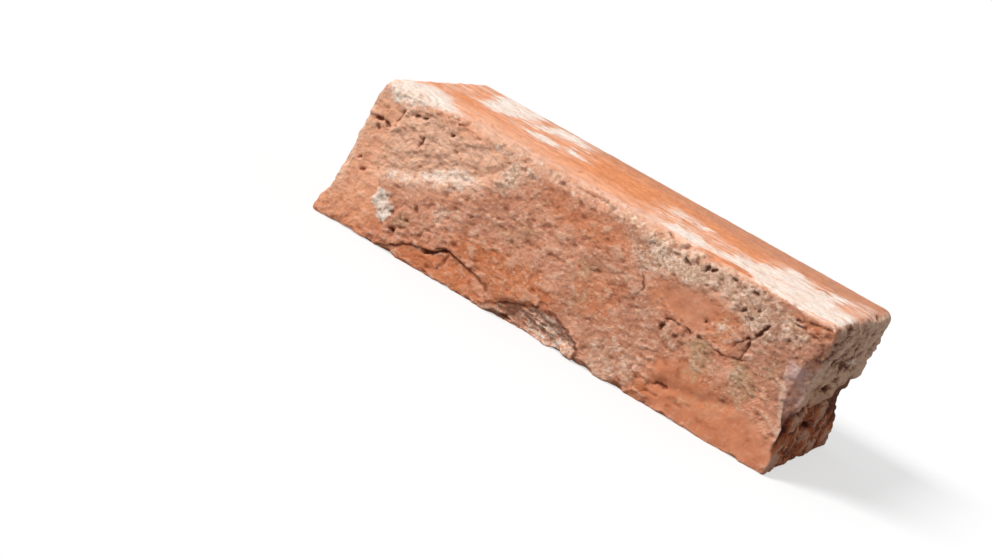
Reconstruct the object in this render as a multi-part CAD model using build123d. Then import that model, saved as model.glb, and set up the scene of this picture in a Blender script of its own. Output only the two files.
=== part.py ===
# A hand-moulded clay brick, fired in one piece and reclaimed from an old wall.
# X runs along the stretchers, Y from the damaged stretcher to the sound one, Z up from the lower bed.
# The origin is under the middle of the whole brick, on the lower bed. All sizes are in millimetres.
from build123d import *
import os

# Moulded size: header to header, stretcher to stretcher, bed to bed
LENGTH = 215.0
WIDTH = 102.5
HEIGHT = 65.0

# Foot of the sound header, where wet clay was squeezed out under the mould
LIP = 4.0
LIP_NOSE = 1.5
LIP_RISE = 15.0
HEADER_LEAN = 2.0

# Broken header: hollow between its arrises
HEADER_HOLLOW = 1.6

# Swell and draft of the sound stretcher
BELLY = 1.0
DRAFT = 0.8

# Rounding of the arrises that wore evenly
UPPER_LEFT_ROUND = 6.0
UPPER_RIGHT_ROUND = 4.5
LOWER_RIGHT_ROUND = 2.0
UPPER_BACK_ROUND = 3.5
LOWER_BACK_ROUND = 2.0
LOWER_FRONT_ROUND = 0.8
FRONT_LEFT_ROUND = 2.0
BACK_LEFT_ROUND = 4.0
BACK_RIGHT_ROUND = 3.5
FRONT_RIGHT_ROUND = 1.5

# Worn upper front arris: the width of the wear, and how far from the sound header it has that width
CORNER_WEAR = 9.0
QUARTER_WEAR = 5.0
QUARTER_AT = 45.0
MIDDLE_WEAR = 7.5
MIDDLE_AT = 95.0
FAR_WEAR = 5.0
FAR_AT = 150.0
END_WEAR = 3.5
WEAR_BULGE = 0.36
WEAR_RUNOUT = 1.0

# Slab that split off the upper left of the damaged stretcher: how high the break climbs inwards from its foot,
# and how much higher the split surface comes back to the face
SLAB_BREAK = 4.5
SLAB_RUN = 30.0
# The break at each place: distance from the sound header, height of its foot, and depth
SLAB_STATIONS = [
    (-15.0, 20.0, 0.3),
    (18.0, 26.0, 1.2),
    (44.0, 36.0, 1.9),
    (62.0, 46.0, 1.3),
    (80.0, 59.0, 0.3),
]

# Long flake off the lower front arris: the break line above it, from the sound header and the lower bed
FLAKE_EDGE = [(27.0, 0.0), (36.0, 5.0), (42.0, 8.8), (51.0, 10.3), (58.0, 14.3), (66.0, 13.0), (76.0, 10.2)]
FLAKE_EDGE += [(81.0, 6.5), (79.0, 0.0)]
FLAKE_FLOOR = 14.3
FLAKE_DEPTH = 1.8
FLAKE_TILT = 6.0

# Shallow bite out of the lower front arris, bedded with old mortar
NOTCH_AT = 104.5
NOTCH_HALF = 30.0
NOTCH_RISE = 21.5
NOTCH_REACH = 9.0
NOTCH_SET_OUT = 5.0
NOTCH_SET_DOWN = 4.0

# Shell-shaped spalls of the broken header: the height of each, the radius of its shell and its depth
FRONT_SPALL_AT = 38.0
FRONT_SPALL_RADIUS = 48.0
FRONT_SPALL_DEPTH = 5.0
FOOT_SPALL_AT = 12.0
FOOT_SPALL_RADIUS = 60.0
FOOT_SPALL_DEPTH = 1.2
BACK_SPALL_AT = 27.0
BACK_SPALL_RADIUS = 22.0
BACK_SPALL_DEPTH = 6.0
BACK_SPALL_SKEW = 0.35
CENTRE_SPALL_AT = 24.0
CENTRE_SPALL_OFFSET = -12.0
CENTRE_SPALL_RADIUS = 55.0
CENTRE_SPALL_DEPTH = 3.5

# Cutters reach this far past the faces that they cut
OVERSHOOT = 5.0

# Planes of the faces, worked out from the sizes above
OVERALL = LENGTH + LIP
SOUND_HEADER = LIP - OVERALL / 2
BROKEN_HEADER = OVERALL / 2
FRONT = -WIDTH / 2
BACK = WIDTH / 2


def upright(along, up):
    """Point of the elevation, on the vertical plane through the middle of the brick."""
    return Vector(along, 0, up)


def elevation():
    """Long outline: squeezed foot and leaning header at one end, hollow broken header at the other."""
    foot = upright(SOUND_HEADER - LIP + LIP_NOSE, 0)
    heel = upright(BROKEN_HEADER - LOWER_RIGHT_ROUND, 0)
    heel_top = upright(BROKEN_HEADER, LOWER_RIGHT_ROUND)
    hollow = upright(BROKEN_HEADER - HEADER_HOLLOW, HEIGHT / 2)
    brow = upright(BROKEN_HEADER, HEIGHT - UPPER_RIGHT_ROUND)
    brow_top = upright(BROKEN_HEADER - UPPER_RIGHT_ROUND, HEIGHT)
    crest_top = upright(SOUND_HEADER + HEADER_LEAN + UPPER_LEFT_ROUND, HEIGHT)
    crest = upright(SOUND_HEADER + HEADER_LEAN, HEIGHT - UPPER_LEFT_ROUND)
    cove = upright(SOUND_HEADER, LIP_RISE)
    nose = upright(SOUND_HEADER - LIP, LIP_NOSE)
    outline = [
        Line(foot, heel),
        TangentArc(heel, heel_top, tangent=(1, 0, 0)),
        ThreePointArc(heel_top, hollow, brow),
        TangentArc(brow, brow_top, tangent=(0, 0, 1)),
        Line(brow_top, crest_top),
        TangentArc(crest_top, crest, tangent=(-1, 0, 0)),
        Line(crest, cove),
        Spline(cove, nose, tangents=(cove - crest, (0, 0, -1))),
        TangentArc(nose, foot, tangent=(0, 0, -1)),
    ]
    return extrude(make_face(outline), amount=WIDTH, dir=(0, 1, 0), both=True)


def rounded(face, corner, radius):
    """The face with its vertex nearest to the given corner rounded."""
    nearest = min(face.vertices(), key=lambda vertex: (Vector(*vertex) - corner).length)
    return face.fillet_2d(radius, [nearest])


def plan():
    """Outline from above: a straight stretcher in front, a slightly swollen one behind."""
    left = -OVERALL / 2
    right = BROKEN_HEADER
    shoulder = BACK - BELLY
    front_left = Vector(left, FRONT)
    front_right = Vector(right, FRONT)
    back_right = Vector(right, shoulder)
    back_left = Vector(left, shoulder)
    outline = [
        Polyline(back_left, front_left, front_right, back_right),
        ThreePointArc(back_right, (0, BACK), back_left),
    ]
    face = make_face(outline).face()
    face = rounded(face, front_left, FRONT_LEFT_ROUND)
    face = rounded(face, front_right, FRONT_RIGHT_ROUND)
    face = rounded(face, back_right, BACK_RIGHT_ROUND)
    face = rounded(face, back_left, BACK_LEFT_ROUND)
    return extrude(face, amount=HEIGHT, dir=(0, 0, 1))


def cross_section():
    """Outline from the end: the sound stretcher leans in by its draft, and its arrises are round."""
    lower_front = Vector(0, FRONT, 0)
    upper_front = Vector(0, FRONT, HEIGHT)
    upper_back = Vector(0, BACK - DRAFT, HEIGHT)
    lower_back = Vector(0, BACK, 0)
    face = make_face(Polyline(lower_front, upper_front, upper_back, lower_back, close=True)).face()
    face = rounded(face, lower_front, LOWER_FRONT_ROUND)
    face = rounded(face, upper_back, UPPER_BACK_ROUND)
    face = rounded(face, lower_back, LOWER_BACK_ROUND)
    return extrude(face, amount=OVERALL, dir=(1, 0, 0), both=True)


def wear_section(along, wear):
    """Section of what wore off the upper front arris at one place, open to the air in front and above."""
    front_edge = Vector(along, FRONT - OVERSHOOT, HEIGHT - wear)
    start = Vector(along, FRONT - WEAR_RUNOUT, HEIGHT - wear)
    crown = Vector(along, FRONT + WEAR_BULGE * wear, HEIGHT - WEAR_BULGE * wear)
    finish = Vector(along, FRONT + wear, HEIGHT + WEAR_RUNOUT)
    top_edge = Vector(along, FRONT + wear, HEIGHT + OVERSHOOT)
    corner = Vector(along, FRONT - OVERSHOOT, HEIGHT + OVERSHOOT)
    outline = [
        Polyline(finish, top_edge, corner, front_edge, start),
        ThreePointArc(start, crown, finish),
    ]
    return make_face(outline).face()


def arris_wear():
    """Everything worn off the upper front arris, lofted through the places where its width was read."""
    stations = [
        (SOUND_HEADER - LIP - OVERSHOOT, CORNER_WEAR),
        (SOUND_HEADER + QUARTER_AT, QUARTER_WEAR),
        (SOUND_HEADER + MIDDLE_AT, MIDDLE_WEAR),
        (SOUND_HEADER + FAR_AT, FAR_WEAR),
        (BROKEN_HEADER + OVERSHOOT, END_WEAR),
    ]
    return loft([wear_section(along, wear) for along, wear in stations])


def slab_section(along, foot, depth):
    """Section of the split slab at one place: the break from its foot, then the split surface, open in front."""
    inner = foot + SLAB_BREAK
    out = OVERSHOOT / depth
    lower = Vector(along, FRONT - OVERSHOOT, foot - SLAB_BREAK * out)
    deepest = Vector(along, FRONT + depth, inner)
    upper = Vector(along, FRONT - OVERSHOOT, inner + SLAB_RUN + SLAB_RUN * out)
    return make_face(Polyline(lower, deepest, upper, close=True)).face()


def split_slab():
    """Slab that split off the upper left of the damaged stretcher, lofted through the places that were read."""
    sections = [slab_section(SOUND_HEADER + along, foot, depth) for along, foot, depth in SLAB_STATIONS]
    return loft(sections)


def flake():
    """Long flake off the lower front arris: a jagged break above a floor that comes out to the face at the bed."""
    first, *_, last = FLAKE_EDGE
    edge = [(first[0], -OVERSHOOT), *FLAKE_EDGE, (last[0], -OVERSHOOT)]
    outline = Polyline(*[upright(SOUND_HEADER + along, up) for along, up in edge], close=True)
    blank = extrude(make_face(outline), amount=WIDTH, dir=(0, -1, 0))
    floor = Plane(origin=(0, FRONT + FLAKE_DEPTH, FLAKE_FLOOR), z_dir=(0, 1, 0)).rotated((-FLAKE_TILT, 0, 0))
    return split(blank, bisect_by=floor, keep=Keep.BOTTOM)


def notch():
    """Shallow bite out of the lower front arris: part of an ellipsoid centred below and in front of it."""
    bite = scale(Sphere(1), by=(NOTCH_HALF, NOTCH_REACH, NOTCH_RISE))
    return Pos(SOUND_HEADER + NOTCH_AT, FRONT - NOTCH_SET_OUT, -NOTCH_SET_DOWN) * bite


def spall(point, outward, radius, depth):
    """Ball that takes a shell-shaped scar of the given depth out of the brick at a point of its surface."""
    centre = Vector(*point) + Vector(*outward).normalized() * (radius - depth)
    return Pos(*centre) * Sphere(radius)


def header_spalls():
    """Scars of the broken header: on both upright arrises, at its foot and across its middle."""
    front_arris = (BROKEN_HEADER, FRONT, FRONT_SPALL_AT)
    front_foot = (BROKEN_HEADER, FRONT, FOOT_SPALL_AT)
    back_arris = (BROKEN_HEADER, BACK, BACK_SPALL_AT)
    centre = (BROKEN_HEADER, CENTRE_SPALL_OFFSET, CENTRE_SPALL_AT)
    return [
        spall(front_arris, (1, -1, 0), FRONT_SPALL_RADIUS, FRONT_SPALL_DEPTH),
        spall(front_foot, (1, -1, 0), FOOT_SPALL_RADIUS, FOOT_SPALL_DEPTH),
        spall(back_arris, (1, BACK_SPALL_SKEW, 0), BACK_SPALL_RADIUS, BACK_SPALL_DEPTH),
        spall(centre, (1, 0, 0), CENTRE_SPALL_RADIUS, CENTRE_SPALL_DEPTH),
    ]


def clay_brick():
    """The moulded brick, less what wear, flakes and spalls took off it."""
    brick = elevation() & plan() & cross_section()
    brick -= arris_wear()
    brick -= split_slab()
    brick -= flake()
    brick -= notch()
    for scar in header_spalls():
        brick -= scar
    return brick


os.makedirs("parts", exist_ok=True)
export_step(clay_brick(), "parts/clay_brick.step")
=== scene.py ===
import itertools
from math import cos, radians, sin

import bmesh
import bpy
import numpy as np
from bpy.props import FloatProperty, FloatVectorProperty, IntProperty, PointerProperty
from mathutils import Matrix, Vector


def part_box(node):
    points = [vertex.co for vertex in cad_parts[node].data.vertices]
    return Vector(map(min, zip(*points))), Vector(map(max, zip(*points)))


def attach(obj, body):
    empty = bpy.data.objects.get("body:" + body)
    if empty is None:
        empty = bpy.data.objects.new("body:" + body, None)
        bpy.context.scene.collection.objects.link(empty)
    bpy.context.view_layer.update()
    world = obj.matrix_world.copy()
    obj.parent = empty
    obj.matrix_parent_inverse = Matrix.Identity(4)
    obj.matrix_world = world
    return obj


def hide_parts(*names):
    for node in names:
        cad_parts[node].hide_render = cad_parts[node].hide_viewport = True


bl_info = {
    "name": "Reclaimed Clay Brick",
    "version": (1, 0, 0),
    "blender": (4, 5, 0),
    "location": "View3D > Sidebar > Brick",
    "description": "Carves, weathers and lights one hand-moulded clay brick from an old wall",
    "category": "Object",
}

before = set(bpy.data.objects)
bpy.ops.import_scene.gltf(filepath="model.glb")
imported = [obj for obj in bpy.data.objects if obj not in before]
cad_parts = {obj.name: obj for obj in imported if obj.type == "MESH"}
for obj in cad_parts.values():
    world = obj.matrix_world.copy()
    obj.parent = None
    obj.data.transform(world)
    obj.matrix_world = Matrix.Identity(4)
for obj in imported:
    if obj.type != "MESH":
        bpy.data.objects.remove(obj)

NODE = "clay_brick"
MM = 0.001
JOIN_DISTANCE = 1e-6
LOW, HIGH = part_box(NODE)
FOOT_LIP = 4.0
SOUND_HEADER = LOW.x / MM + FOOT_LIP
FRONT = LOW.y / MM
HEIGHT = (HIGH.z - LOW.z) / MM

# Relief that this script carves, in millimetres
WANDER = 0.42
ARRIS_REACH = 5
CHIP_MARGIN = 12
CORNER_ROUNDING = 5.0
FAR_CORNER_ROUNDING = 6.0
SKIN_THICKNESS = 0.6
FOLD_DEPTH = 0.9
MORTAR_THICKNESS = 0.25
BLOB_THICKNESS = 0.3
LIME_THICKNESS = 0.15
SLAB_LAYER = 0.2
NOTCH_LAYER = 1.1
LEDGE_PITCH = 7.0
LEDGE_DEPTH = 2.4
RECESS_DEPTH = 3.8
BROW_HEIGHT = 1.6
SHOULDER_HEIGHT = 0.7
BITE_DEPTH = 2.4
# How the clay's layers slope, in the split slab and in the broken header
SLAB_SLOPE = radians(-34)
HEADER_SLOPE = radians(14)
# How much narrower than long the pits of the broken header are
PIT_STRETCH = 0.35

# Places on the damaged stretcher: distance from the sound header and height above the lower bed.
# The skin's edge runs from the upper arris to the lower one. Right of it the old skin of the brick survives.
SKIN_EDGE = [(16, 70), (15, 55), (14, 50), (12.5, 44), (12.5, 37), (15, 34), (18, 33), (17, 28)]
SKIN_EDGE += [(18, 22), (19.5, 17), (22, 13), (27, 10.5), (29, 6), (29, 1), (29, -8)]
OLD_SKIN = SKIN_EDGE + [(230, -8), (230, 70)]
# Break line above the long flake
FLAKE_EDGE = [(27, 0), (36, 5), (42, 8.8), (51, 10.3), (58, 14.3), (66, 13), (75, 11), (80, 9)]
FLAKE = FLAKE_EDGE + [(83, 5), (80, -6), (27, -6)]
# Break line above the bite of the lower arris
NOTCH_EDGE = [(79, 2), (84, 5), (90, 8), (96, 10), (100, 12.4), (105, 13.5), (110, 14), (115, 12.2)]
NOTCH_EDGE += [(120, 10), (124, 7), (126.5, 3.5), (127, 0)]
NOTCH = NOTCH_EDGE + [(127, -6), (79, -6)]
FOLD = [(160, 10.6), (170, 11.6), (180, 14), (191, 17.6)]
# Cracks and small breaks of the stretcher: the line, its width and its depth
FRONT_CRACKS = {
    "flake inner edge": ([(49.5, 8.2), (52, 9.8), (54.5, 12), (57, 13.4)], 1.4, 1.5),
    "flake rib": ([(59, 12), (58.4, 8), (57, 4.5)], 1.1, 0.6),
    "flake side rib": ([(70, 8), (74, 5), (79, 3)], 1, 0.5),
    "fork": ([(190, 52.5), (188.5, 48.5), (187, 45.2), (184.5, 44.2)], 1, 1.6),
    "fork branch": ([(186.2, 44.5), (186.4, 40), (185.6, 35.8)], 0.9, 1.4),
    "fork twig": ([(184, 43.5), (181.5, 40.5), (180.4, 36.5)], 0.8, 0.6),
    "level": ([(167, 35), (172, 34.4), (178, 33.2), (183, 34), (188, 36)], 0.9, 0.9),
    "crumb": ([(151.5, 34.5), (154, 35.8), (158, 35.6), (161.5, 36), (164.5, 34)], 0.8, 0.9),
    "hook": ([(136.4, 45), (137.2, 43), (138.8, 40.5), (138, 38.4), (135, 36.6)], 1, 1),
    "arc": ([(85, 32.6), (90, 33.6), (98, 34), (104, 33.6), (108, 33)], 0.9, 0.5),
    "corner": ([(20, 55.6), (23, 56.2), (25, 56.8)], 1, 1.2),
    "arris": ([(94, 63.8), (99, 63.2), (104, 63.4), (112, 62.6)], 1, 1.1),
    "brow": ([(33, 61.6), (36, 62.4), (37.5, 63.2)], 1, 1.2),
    "brow end": ([(39, 61.6), (42, 63.4)], 0.9, 0.9),
    "upright": ([(15.4, 56), (14.6, 53), (14, 50)], 0.9, 0.8),
    "root": ([(27, 49), (27.2, 46), (26.6, 44)], 0.9, 0.8),
    "chip line": ([(199, 60.5), (203, 61.5), (207, 62.6), (213, 63.4)], 1.2, 1.1),
    "chip line below": ([(198, 58), (203, 59), (208, 59.6)], 0.9, 0.8),
    "foot": ([(152, 8), (155, 9.4), (158, 8.6), (161, 10.6), (165, 10)], 1.1, 0.8),
    "foot end": ([(156, 5), (159, 6), (163, 5.6)], 0.9, 0.6),
    "bevel": ([(212.4, 50), (212.6, 52.4), (213.2, 54.6)], 1.2, 1.5),
}
# Pits of the stretcher: distance, height, radius, depth
FRONT_PITS = [
    (6.4, 47.2, 1.9, 2), (10.2, 46.4, 1.6, 1.8), (7.6, 43.8, 1.3, 1), (5.5, 28.8, 1.1, 1),
    (9.2, 25.2, 1.4, 1.3), (23.5, 18.5, 1.6, 0.6), (26.6, 20.6, 1.2, 0.5), (24, 14.4, 1.1, 0.4),
    (29.4, 16, 1.5, 1.3), (32, 9.6, 1.8, 1.5), (38, 22.4, 1.6, 1.1), (44.6, 13.6, 1.3, 0.9),
    (38.2, 56, 1.1, 1.6), (36.4, 16.2, 1.4, 1.3), (33.4, 16, 1.1, 0.7), (45, 47, 1.8, 0.7),
    (88.6, 61.4, 1.3, 1.4), (72.6, 58.6, 1.3, 0.7), (76.6, 57.4, 1.6, 0.8), (116.5, 60.2, 1.4, 1),
    (61.2, 30.8, 1, 0.8), (118.6, 37, 1.4, 0.8), (131.4, 37.6, 1.3, 0.7), (152, 31.6, 1.5, 2.2),
    (152.2, 33.8, 1, 1), (145.4, 63.6, 2, 1), (149.4, 58.8, 2, 1.2), (152.8, 61.6, 1.8, 1.4),
    (157.6, 60.4, 1.5, 2), (160.6, 61, 1.4, 2), (170, 62.4, 1.5, 1.8), (170.6, 66.6, 1.6, 1),
    (166.8, 41.5, 0.8, 1.2), (178.4, 53.4, 1.5, 1.4), (179.2, 61.2, 1.7, 1.2), (184, 56, 1.4, 1),
    (202, 54.2, 1.2, 0.9), (200.2, 51.4, 1, 0.8), (207.5, 57.5, 1.4, 1),
]
# Outlines of what clings to the stretcher, and of smooth, dusty, pale or broken skin, some with a strength
CRAGGY_CLAY = [(27, 6), (28, 25), (34, 29), (44, 30), (56, 28), (56, 20), (48, 13), (40, 10), (33, 4)]
MORTAR_BLOB = [(19, 21), (21, 23), (24.5, 22), (28, 17.5), (28.6, 12.5), (25.5, 10.8), (22, 12.8), (19, 17)]
SLAB_BREAK = [(16, 26), (27, 29), (38, 33.5), (47, 37.5), (59, 41.5), (60, 46), (50, 47.5), (40, 42.5)]
SLAB_BREAK += [(30, 36), (17, 32)]
BREAK_LIME = [(31, 32.5), (38, 34.5), (46, 36.5), (53, 39.5), (56, 44), (49, 46), (41, 43), (33, 36)]
RIDGE_LIME = [(17, 27), (24, 28), (31, 30.5), (38, 34), (36, 37), (28, 34), (20, 31.5)]
CORNER_LIME = [(3, 62), (6, 57), (10, 55.5), (15, 57), (20, 60), (26, 62.5), (34, 64.5), (46, 66.5)]
CORNER_LIME += [(46, 80), (0, 80)]
MORTAR_FIELD = [(104, 63), (110, 60.5), (124, 58.5), (127, 52.5), (132, 48.5), (136, 46.5), (139, 50)]
MORTAR_FIELD += [(145, 52), (154, 51), (160, 54), (168, 56.5), (173, 52), (180, 50), (184, 46), (190, 45)]
MORTAR_FIELD += [(199, 48), (207, 52), (207, 58), (196, 61), (180, 65), (150, 65.5), (125, 66)]
CRUMB_BAND = [(151, 30), (151, 34.5), (154, 35.8), (161.5, 36), (165, 33), (163.5, 27), (158, 26), (156, 31)]
MORTAR_PATCHES = [
    ([(124, 14), (136, 17), (151, 16), (153, 5), (143, 0), (131, 0), (128, 7)], 0.45),
    [(64, 47), (65, 58), (70, 60), (72, 50), (69, 45)],
    ([(70, 54), (72, 61), (84, 61), (80, 55)], 0.7),
    ([(44, 24), (50, 31), (56, 32), (58, 26), (48, 22)], 0.5),
    ([(56, 60), (58, 66), (114, 66), (114, 60.5), (88, 60)], 0.62),
    ([(143, 36), (147, 41), (146, 34)], 0.6),
    ([(168, 42), (174, 49), (177, 44), (171, 39)], 0.6),
]
DULL_SMEARS = [
    ([(166, 35), (176, 35), (177, 27), (174, 19), (169, 19), (167, 27)], 0.9),
    [(183, 34), (192, 34), (197, 25), (194, 19), (188, 22)],
    ([(110, 20), (117, 29), (121, 26), (116, 19)], 0.6),
    ([(193, 32), (199, 46), (203, 44), (202, 33)], 0.5),
    # Dull smear along the fold, which also paints the shade of the fold's groove
    ([(163, 9), (176, 13), (190, 18), (191, 14), (178, 8)], 0.45),
    ([(164, 27), (168, 34), (158, 28), (154, 34), (152, 28)], 0.7),
    ([(30, 13), (34, 19), (40, 17), (36, 12)], 0.7),
    ([(104, 30), (112, 40), (122, 42), (118, 32)], 0.5),
    ([(72, 30), (82, 42), (92, 40), (84, 28)], 0.4),
]
SMOOTH_CLAY = [
    [(141, 48), (150, 49), (160, 51), (170, 49), (169, 40), (168, 37), (156, 38), (150, 38), (143, 42)],
    [(156, 20), (166, 25), (178, 20), (186, 19), (200, 18), (214, 12), (214, 0), (158, 0)],
    ([(-5, 45), (9, 41), (14, 31), (16, 21), (21, 13), (26, 8), (28, -2), (-6, -2)], 0.3),
    ([(36, 0), (43, 7), (52, 9), (59, 12), (70, 10), (78, 7), (79, 0)], 0.35),
    ([(203, 46), (205, 38), (207, 33), (210, 28), (212, 24), (214, 20), (222, 3), (222, 46)], 0.25),
    [(204, 14), (212, 3), (222, 3), (222, 14)],
]
WARM_CLAY = [
    ([(84, 57), (122, 57), (124, 50), (112, 45), (92, 48)], 0.55),
    [(58, 22), (76, 24), (98, 24), (110, 16), (96, 9), (84, 6), (78, 12), (60, 16)],
    [(150, 8), (160, 10), (166, 2), (152, 0)],
    [(30, 0), (38, 5), (44, 9), (58, 13), (78, 9), (79, 0)],
    ([(140, 48), (150, 49), (160, 51), (181, 48), (180, 38), (168, 37), (150, 37), (141, 40)], 0.7),
    ([(156, 20), (166, 25), (178, 22), (186, 19), (200, 18), (214, 12), (214, 0), (158, 0)], 0.7),
    [(196, 60), (204, 64), (214, 63), (214, 59), (206, 58)],
    [(33, 42), (44, 50), (47, 47), (38, 40)],
    ([(112, 20), (112, 36), (132, 38), (134, 20)], 0.6),
]
# Pale line where the bevel beside the broken header begins
BEVEL_EDGE = [(204.5, 42), (205.5, 36), (207.5, 30), (210.5, 25), (213, 19), (214.5, 12)]
HEADER_BEVEL = [(203, 45), (205, 38), (206.5, 33), (209.5, 28), (211.5, 24), (213.5, 20), (215, 12)]
HEADER_BEVEL += [(220, 12), (220, 44)]
DUSTY_CLAY = [
    ([(44, 40), (40, 54), (52, 64), (66, 64), (66, 50), (60, 44), (52, 38)], 0.4),
    ([(64, 46), (63, 60), (72, 61), (73, 49)], 0.95),
    ([(140, 53), (144, 63), (171, 63), (172, 55), (158, 51)], 0.75),
]
SPLIT_SLAB = [(14, 70), (12, 44), (16, 28), (38, 35), (60, 46), (74, 60), (78, 70)]
PALE_LEFT = [(-8, 4), (-8, 76), (80, 76), (66, 50), (46, 38), (26, 30), (18, 14)]
DULL_CLAY = [
    [(172, 70), (176, 50), (186, 34), (200, 32), (208, 22), (220, 22), (220, 70)],
    ([(108, 14), (110, 46), (136, 48), (150, 36), (164, 34), (162, 26), (152, 16)], 0.45),
    ([(48, 66), (50, 61), (120, 60), (132, 66)], 0.85),
    ([(58, 24), (56, 36), (70, 44), (82, 40), (84, 26)], 0.4),
    [(140, 50), (160, 52), (170, 49), (168, 38), (150, 38), (142, 42)],
    ([(130, 0), (130, 16), (152, 17), (152, 0)], 0.5),
]

# Places on the upper bed: distance from the sound header and from the damaged stretcher
RIGHT_LIME = [(151, 14), (157, 34), (165, 44), (172, 56), (174, 68), (180, 67), (184, 59), (190, 57)]
RIGHT_LIME += [(194, 62), (198, 69), (203, 66), (201, 56), (203, 45), (210, 41), (216, 32), (216, 12)]
RIGHT_LIME += [(208, 3), (196, -2), (184, -3), (176, 3), (171, 13), (160, 16)]
TOP_LIME = [
    [(2, -4), (6, 10), (11, 27), (19, 27), (26, 17), (32, 6), (42, 0), (44, -4)],
    [(17, 104), (19, 82), (21, 66), (25, 54), (33, 49), (37, 56), (39, 68), (42, 92), (36, 104)],
    [(43, 62), (50, 66), (55, 76), (63, 80), (69, 74), (67, 86), (58, 96), (48, 92), (46, 74)],
    [(49, 50), (54, 57), (63, 56), (65, 46), (60, 39), (53, 42)],
    [(67, 66), (71, 57), (80, 51), (78, 47), (70, 50), (66, 58)],
    [(129, 27), (133, 11), (147, 6), (151, 20), (142, 29)],
    ([(119, 60), (127, 60), (131, 50), (129, 36), (122, 32), (119, 44)], 0.55),
    ([(132, 54), (138, 55), (138, 48), (133, 47)], 0.9),
    (RIGHT_LIME, 0.85),
]
# Thin washes of lime on the upper bed: outline and strength
TOP_WASH = [
    ([(-2, -6), (-2, 106), (16, 106), (19, 72), (13, 42), (22, 22), (34, -6)], 0.75),
    ([(20, -6), (22, 9), (60, 12), (84, 9), (120, 12), (132, 6), (132, -6)], 0.6),
    ([(24, 18), (28, 42), (66, 38), (68, 22), (48, 14)], 0.2),
    ([(118, 60), (130, 60), (140, 50), (168, 48), (172, 12), (150, 4), (126, 6), (117, 30)], 0.85),
    [(119, 62), (129, 62), (134, 50), (134, 30), (123, 26), (118, 42)],
    ([(-4, 50), (-4, 104), (8, 104), (9, 50)], 0.8),
    ([(16, 104), (16, 52), (34, 44), (50, 36), (68, 36), (80, 48), (72, 74), (68, 104)], 0.6),
    ([(168, -6), (168, 66), (198, 70), (206, 80), (216, 78), (218, -6)], 0.85),
]
TOP_RED = [(149, 3), (150, 11), (160, 12), (173, 14), (175, 4), (164, 2)]
TOP_PITS = [
    (48, 15, 1.3, 1.2), (57, 26, 1.4, 1.2), (87, 23, 1.4, 1), (113, 15, 1.2, 0.9), (184, 60, 1.2, 1),
    (82, 3, 1.5, 1.4), (90, 2, 1.6, 1.4), (86, 2.4, 1.4, 1.2), (96, 1.6, 1.2, 1), (138, 5, 1.6, 1.2),
    (146, 3, 1.8, 1.3), (157, 8, 1.6, 1), (163, 7, 1.4, 1.1), (169, 9, 1.5, 2), (11, 0, 1.5, 1.1),
    (104, 2, 1.2, 0.9), (70, 5, 1.1, 0.8), (60, 2, 1.1, 0.8), (120, 1, 1.3, 1), (130, 44, 1.2, 1),
]
# Places on the broken header: distance from the damaged stretcher and height
# Its pits, in the same form as those of the stretcher, and its one lens of lime
HEADER_PITS = [
    (16, 57, 2, 2), (14, 51, 1.4, 1.5), (32, 47.5, 2.2, 2.2), (20, 46, 1.4, 1.4), (56, 42, 1.8, 1.8),
    (66, 41, 1.6, 1.6), (62, 51, 1.8, 1.6), (90, 50, 2.2, 2.4), (60, 46, 1.4, 1.4), (18, 26, 2.4, 2.6),
    (30, 26, 2, 2.2), (9, 17.5, 1.8, 2), (62, 27, 1.8, 2.2), (48, 32, 1.8, 1.6), (48, 15, 1.6, 1.8),
    (38, 11, 1.4, 1.6), (70, 17, 1.6, 1.6), (76, 40, 1.5, 1.4), (28, 4, 1.6, 1.6), (84, 33, 1.8, 1.8),
    (6.5, 50.5, 1.8, 2.6), (26, 59, 1.5, 1.4), (44, 57, 1.5, 1.5), (76, 55, 1.8, 1.8), (88, 44, 1.6, 1.6),
    (94, 57, 1.8, 1.6),
]
LIME_LENS = (67, 43.6)
# Number of lots that the noises draw from, a power of two
LOTS = 256


def ramp(value, low, high):
    """Smooth step from 0 at low to 1 at high."""
    part = np.clip((value - low) / (high - low), 0, 1)
    return part * part * (3 - 2 * part)


def fade(value, low, high):
    """Smooth step from 1 at low to 0 at high."""
    return 1 - ramp(value, low, high)


def hump(value, middle, spread):
    """Bell-shaped curve of 1 at the middle."""
    return np.exp(-(((value - middle) / spread) ** 2))


def drawn_lots(shuffle, cell):
    """Draws a lot for each cell of a lattice."""
    last = LOTS - 1
    x, y, z = (cell & last).T
    return shuffle[(shuffle[(shuffle[x] + y) & last] + z) & last]


def gradient_noise(points, size, seed):
    """Smooth random field of about -1 to 1, with lumps of the given size."""
    rng = np.random.default_rng(seed)
    shuffle = rng.permutation(LOTS)
    slopes = rng.normal(size=(LOTS, 3))
    slopes /= np.linalg.norm(slopes, axis=1)[:, None]
    place = points / size
    cell = np.floor(place).astype(np.int64)
    part = place - cell
    ease = part ** 3 * (part * (part * 6 - 15) + 10)
    total = np.zeros(len(points))
    for corner in itertools.product((0, 1), repeat=3):
        pick = drawn_lots(shuffle, cell + corner)
        weight = np.where(corner, ease, 1 - ease).prod(axis=1)
        total += weight * ((part - corner) * slopes[pick]).sum(axis=1)
    return total * 1.7


def fractal(points, size, octaves, seed, gain=0.5):
    """Sum of noises, each half the size of the one before and gain times as strong."""
    total = np.zeros(len(points))
    for octave in range(octaves):
        total += gain ** octave * gradient_noise(points, size / 2 ** octave, seed + octave)
    return total


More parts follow.
